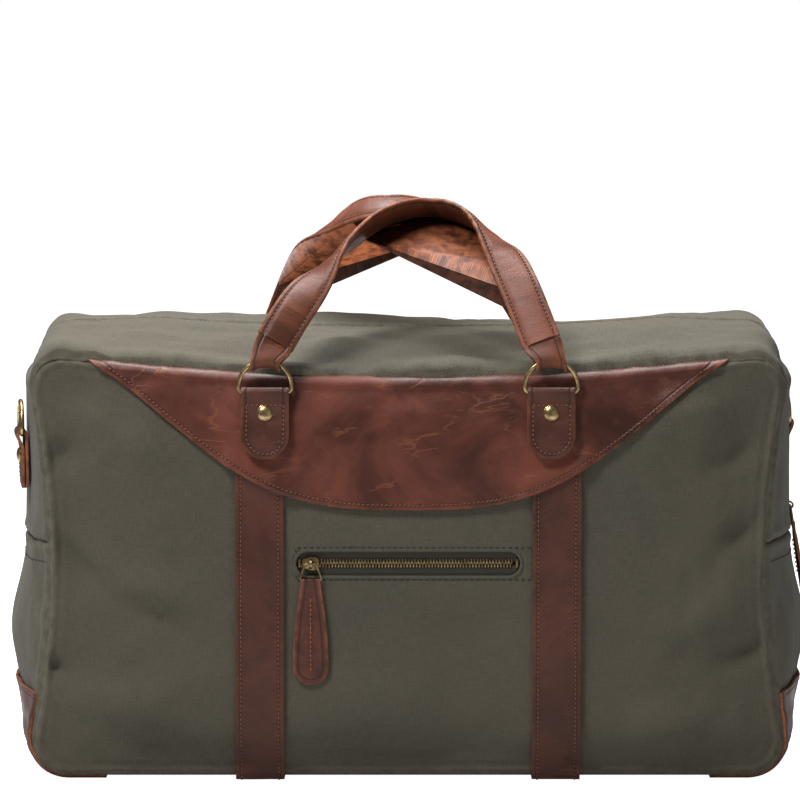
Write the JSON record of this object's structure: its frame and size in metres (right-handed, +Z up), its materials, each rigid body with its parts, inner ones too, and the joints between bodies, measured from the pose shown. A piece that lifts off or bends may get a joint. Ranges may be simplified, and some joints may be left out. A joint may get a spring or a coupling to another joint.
{
  "type": "weekender bag",
  "caption": "Soft canvas travel bag with leather yokes, straps and corner guards, two arched carrying handles on D-rings, a zip top and a zipped front pocket.",
  "frame": {"origin": "middle of the footprint, on the surface the bag stands on", "axes": "+X along the bag's length, -Y out of the front with the pocket, +Z up"},
  "size_m": [0.5534, 0.2404, 0.3922],
  "materials": {
    "canvas": "olive-grey waxed cotton canvas, matt, plain weave",
    "yoke_leather": "red-brown pull-up leather, mottled, semi-matt, raw orange edge",
    "strap_leather": "dark brown oiled leather with fine creases, raw orange edge",
    "handle_leather": "tan red-brown oiled leather, turned rims, semi-matt",
    "pull_leather": "dark brown leather with raw orange edge",
    "lining_cloth": "plain cotton twill lining",
    "base_board": "stiff fibre board",
    "zip_tape": "dark woven zip tape",
    "bright_brass": "antiqued brass, polished on its high places",
    "antique_brass": "dark antiqued brass"
  },
  "bodies": {
    "bag": {"front_panel": "canvas", "back_panel": "canvas", "zip_gusset_front": "canvas", "zip_gusset_back": "canvas", "base_gusset": "canvas", "front_yoke": "yoke_leather", "back_yoke": "yoke_leather", "strap_left": "strap_leather", "strap_right": "strap_leather", "end_guard_left": "strap_leather", "end_guard_right": "strap_leather", "base_board": "base_board", "lining": "lining_cloth", "pocket_pouch": "lining_cloth", "tab_front_left": "strap_leather", "tab_front_right": "strap_leather", "tab_back_left": "strap_leather", "tab_back_right": "strap_leather", "tab_side_left": "strap_leather", "tab_side_right": "strap_leather", "rivet_front_left": "bright_brass", "rivet_front_right": "bright_brass", "rivet_back_left": "bright_brass", "rivet_back_right": "bright_brass", "rivet_side_left": "bright_brass", "rivet_side_right": "bright_brass", "main_zip_tape_front": "zip_tape", "main_zip_tape_back": "zip_tape", "main_zip_chain_front": "antique_brass", "main_zip_chain_back": "antique_brass", "pocket_zip_tape_upper": "zip_tape", "pocket_zip_tape_lower": "zip_tape", "pocket_zip_chain_upper": "antique_brass", "pocket_zip_chain_lower": "antique_brass", "pocket_zip_stop_left": "antique_brass", "pocket_zip_stop_right": "antique_brass"},
    "ring_front_left": {"d_ring_front_left": "bright_brass"},
    "ring_front_right": {"d_ring_front_right": "bright_brass"},
    "ring_back_left": {"d_ring_back_left": "bright_brass"},
    "ring_back_right": {"d_ring_back_right": "bright_brass"},
    "ring_side_left": {"d_ring_side_left": "bright_brass"},
    "ring_side_right": {"d_ring_side_right": "bright_brass"},
    "handle_front": {"handle_front": "handle_leather", "tongue_front_left": "handle_leather", "tongue_front_right": "handle_leather"},
    "handle_back": {"handle_back": "handle_leather", "tongue_back_left": "handle_leather", "tongue_back_right": "handle_leather"},
    "main_slider": {"main_zip_slider": "antique_brass"},
    "main_pull": {"main_zip_bail": "antique_brass", "main_zip_pull": "pull_leather"},
    "pocket_slider": {"pocket_zip_slider": "antique_brass"},
    "pocket_pull": {"pocket_zip_bail": "antique_brass", "pocket_zip_pull": "pull_leather"}
  },
  "joints": [
    {"name": "ring_front_left_swing", "type": "hinge", "parent": "bag", "child": "ring_front_left", "pos_m": [-0.096, -0.11177, 0.264], "axis": [1, 0, 0], "range_deg": [0, 140]},
    {"name": "ring_front_right_swing", "type": "hinge", "parent": "bag", "child": "ring_front_right", "pos_m": [0.096, -0.11177, 0.264], "axis": [1, 0, 0], "range_deg": [0, 140]},
    {"name": "handle_front_swing", "type": "hinge", "parent": "ring_front_left", "child": "handle_front", "pos_m": [-0.096, -0.11177, 0.284], "axis": [1, 0, 0], "range_deg": [0, 40]},
    {"name": "ring_back_right_swing", "type": "hinge", "parent": "bag", "child": "ring_back_right", "pos_m": [0.096, 0.11177, 0.264], "axis": [-1, 0, 0], "range_deg": [0, 140]},
    {"name": "ring_back_left_swing", "type": "hinge", "parent": "bag", "child": "ring_back_left", "pos_m": [-0.096, 0.11177, 0.264], "axis": [-1, 0, 0], "range_deg": [0, 140]},
    {"name": "handle_back_swing", "type": "hinge", "parent": "ring_back_right", "child": "handle_back", "pos_m": [0.096, 0.11177, 0.284], "axis": [-1, 0, 0], "range_deg": [0, 40]},
    {"name": "ring_side_left_swing", "type": "hinge", "parent": "bag", "child": "ring_side_left", "pos_m": [-0.26547, -0.04566, 0.231], "axis": [0.1403, -0.9901, 0], "range_deg": [0, 130]},
    {"name": "ring_side_right_swing", "type": "hinge", "parent": "bag", "child": "ring_side_right", "pos_m": [0.26547, 0.04566, 0.231], "axis": [-0.1403, 0.9901, 0], "range_deg": [0, 130]},
    {"name": "main_slider_travel", "type": "slide", "parent": "bag", "child": "main_slider", "axis": [0, 0, 1], "range_m": [0, 0.04]},
    {"name": "main_pull_swing", "type": "hinge", "parent": "main_slider", "child": "main_pull", "pos_m": [0.2663, 0, 0.176], "axis": [0, -1, 0], "range_deg": [0, 140]},
    {"name": "pocket_slider_travel", "type": "slide", "parent": "bag", "child": "pocket_slider", "axis": [1, 0, 0], "range_m": [0, 0.13]},
    {"name": "pocket_pull_swing", "type": "hinge", "parent": "pocket_slider", "child": "pocket_pull", "pos_m": [-0.0655, -0.11637, 0.149], "axis": [-1, 0, 0], "range_deg": [0, 90]}
  ],
  "couplings": [
    {"joint": "ring_front_right_swing", "follows": "ring_front_left_swing", "ratio": 1},
    {"joint": "ring_back_left_swing", "follows": "ring_back_right_swing", "ratio": 1}
  ]
}
